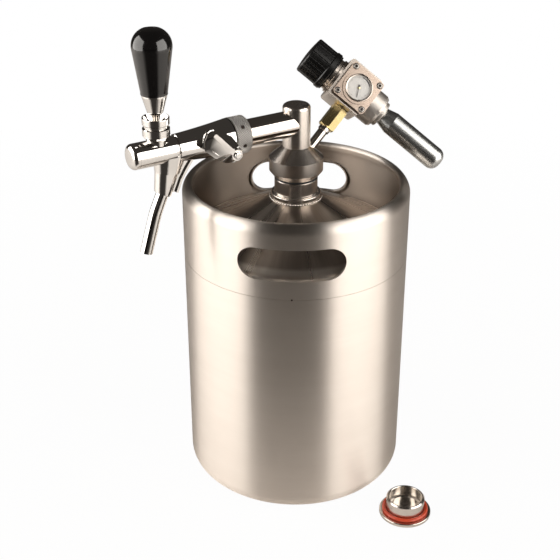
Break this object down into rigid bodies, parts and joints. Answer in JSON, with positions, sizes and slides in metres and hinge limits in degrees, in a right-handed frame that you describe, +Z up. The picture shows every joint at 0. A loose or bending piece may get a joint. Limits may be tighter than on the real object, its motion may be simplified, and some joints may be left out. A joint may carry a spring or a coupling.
{
  "type": "mini keg beer dispenser",
  "caption": "Steel mini keg with a rolled carrying collar, a screw-in head with a tap and flow control, a gas regulator with gauge and cartridge, and a spare screw cap.",
  "frame": {"origin": "centre of the keg's foot, on the floor", "axes": "+Z up along the keg's axis; -Y toward the front hand slot, +Y toward the rear one"},
  "size_m": [0.2384, 0.1969, 0.3952],
  "materials": {
    "keg_steel": "brushed stainless sheet, satin with a fine turned grain",
    "head_steel": "turned stainless, satin",
    "tap_chrome": "mirror-polished plated metal",
    "tap_inner_steel": "turned stainless",
    "nylon": "plain natural nylon",
    "seal_rubber": "matt moulded rubber",
    "grip_black": "glossy moulded black",
    "nut_brass": "bright turned brass",
    "regulator_nickel": "satin nickel plate",
    "knob_black": "fine matt moulded black",
    "dial_white": "matt white print ground",
    "needle_dark": "matt dark enamel",
    "lens_clear": "clear",
    "inner_steel": "plain bright steel",
    "cartridge_steel": "galvanised drawn steel",
    "cap_steel": "turned stainless",
    "seal_red": "soft moulded silicone"
  },
  "bodies": {
    "keg": {"keg_body": "keg_steel", "top_collar": "keg_steel", "keg_dome": "keg_steel", "neck_fitting": "keg_steel"},
    "head": {"head_body": "head_steel", "head_seal": "seal_rubber", "dip_tube": "head_steel", "shank_tube": "head_steel", "tap_washer": "seal_rubber", "tap_body": "tap_chrome", "front_cap": "tap_chrome", "ball_seat": "nylon", "lever_bonnet": "tap_chrome", "spout_tube": "tap_chrome", "gas_stem": "head_steel"},
    "nut": {"coupling_nut": "tap_chrome"},
    "handle": {"tap_lever": "tap_inner_steel", "handle_ferrule": "tap_chrome", "handle_grip": "grip_black"},
    "valve": {"tap_shaft": "tap_inner_steel", "seat_washer": "seal_rubber"},
    "flow_hand_lever": {"flow_lever": "tap_chrome", "flow_lever_screw": "tap_chrome"},
    "flow_plug": {"flow_core": "nylon"},
    "regulator": {"regulator_body": "regulator_nickel", "gauge_plate": "regulator_nickel", "plate_screws": "inner_steel", "gauge_case": "regulator_nickel", "gauge_dial": "dial_white", "gauge_bezel": "regulator_nickel", "gauge_lens": "lens_clear", "regulator_bonnet": "regulator_nickel", "range_spring": "inner_steel", "diaphragm": "seal_rubber", "piercing_pin": "inner_steel", "cartridge_seal": "seal_rubber", "gas_washer": "seal_rubber", "cartridge_holder": "regulator_nickel"},
    "stem_nut": {"gas_nut": "nut_brass"},
    "knob": {"pressure_knob": "knob_black", "adjusting_screw": "inner_steel"},
    "needle": {"gauge_needle": "needle_dark"},
    "cartridge": {"gas_cartridge": "cartridge_steel"},
    "loose_cap": {"spare_cap": "cap_steel", "spare_cap_seal": "seal_red"}
  },
  "joints": [
    {"name": "head_turn", "type": "hinge", "parent": "keg", "child": "head", "pos_m": [0, 0, 0.2614], "axis": [0, 0, 1], "continuous": true},
    {"name": "coupling_nut_turn", "type": "hinge", "parent": "head", "child": "nut", "pos_m": [-0.04544, -0.03099, 0.3047], "axis": [-0.8261, -0.5635, 0], "continuous": true},
    {"name": "tap_lever_tilt", "type": "hinge", "parent": "head", "child": "handle", "pos_m": [-0.09798, -0.06683, 0.3192], "axis": [0.5635, -0.8261, 0], "range_deg": [0, 20]},
    {"name": "tap_shaft_slide", "type": "slide", "parent": "head", "child": "valve", "axis": [0.8261, 0.5635, 0], "range_m": [0, 0.0053]},
    {"name": "flow_lever_turn", "type": "hinge", "parent": "head", "child": "flow_hand_lever", "pos_m": [-0.05279, -0.03601, 0.2977], "axis": [0.5635, -0.8261, 0], "range_deg": [-35, 60]},
    {"name": "flow_plug_slide", "type": "slide", "parent": "head", "child": "flow_plug", "axis": [-0.8261, -0.5635, 0], "range_m": [-0.0013, 0.002]},
    {"name": "regulator_swivel", "type": "hinge", "parent": "head", "child": "regulator", "pos_m": [0.01164, 0.00977, 0.28239], "axis": [0.5825, 0.4888, 0.6494], "continuous": true},
    {"name": "stem_nut_turn", "type": "hinge", "parent": "regulator", "child": "stem_nut", "pos_m": [0.02737, 0.02297, 0.29993], "axis": [0.5825, 0.4888, 0.6494], "continuous": true},
    {"name": "pressure_knob_turn", "type": "hinge", "parent": "regulator", "child": "knob", "pos_m": [0.02007, 0.04025, 0.33627], "axis": [-0.783, 0.1231, 0.6097], "range_deg": [0, 900]},
    {"name": "gauge_needle_turn", "type": "hinge", "parent": "regulator", "child": "needle", "pos_m": [0.04727, 0.02187, 0.32571], "axis": [-0.218, 0.8637, -0.4544], "range_deg": [0, 270]},
    {"name": "cartridge_turn", "type": "hinge", "parent": "regulator", "child": "cartridge", "pos_m": [0.08272, 0.0304, 0.2875], "axis": [0.783, -0.1231, -0.6097], "continuous": true},
    {"name": "spare_cap_lift", "type": "slide", "parent": "keg", "child": "loose_cap", "axis": [0, 0, 1], "range_m": [0, 0.12]}
  ],
  "couplings": [
    {"joint": "tap_shaft_slide", "follows": "tap_lever_tilt", "m_per_rad": 0.0145},
    {"joint": "flow_plug_slide", "follows": "flow_lever_turn", "m_per_rad": 0.0018},
    {"joint": "gauge_needle_turn", "follows": "pressure_knob_turn", "ratio": 0.3}
  ]
}
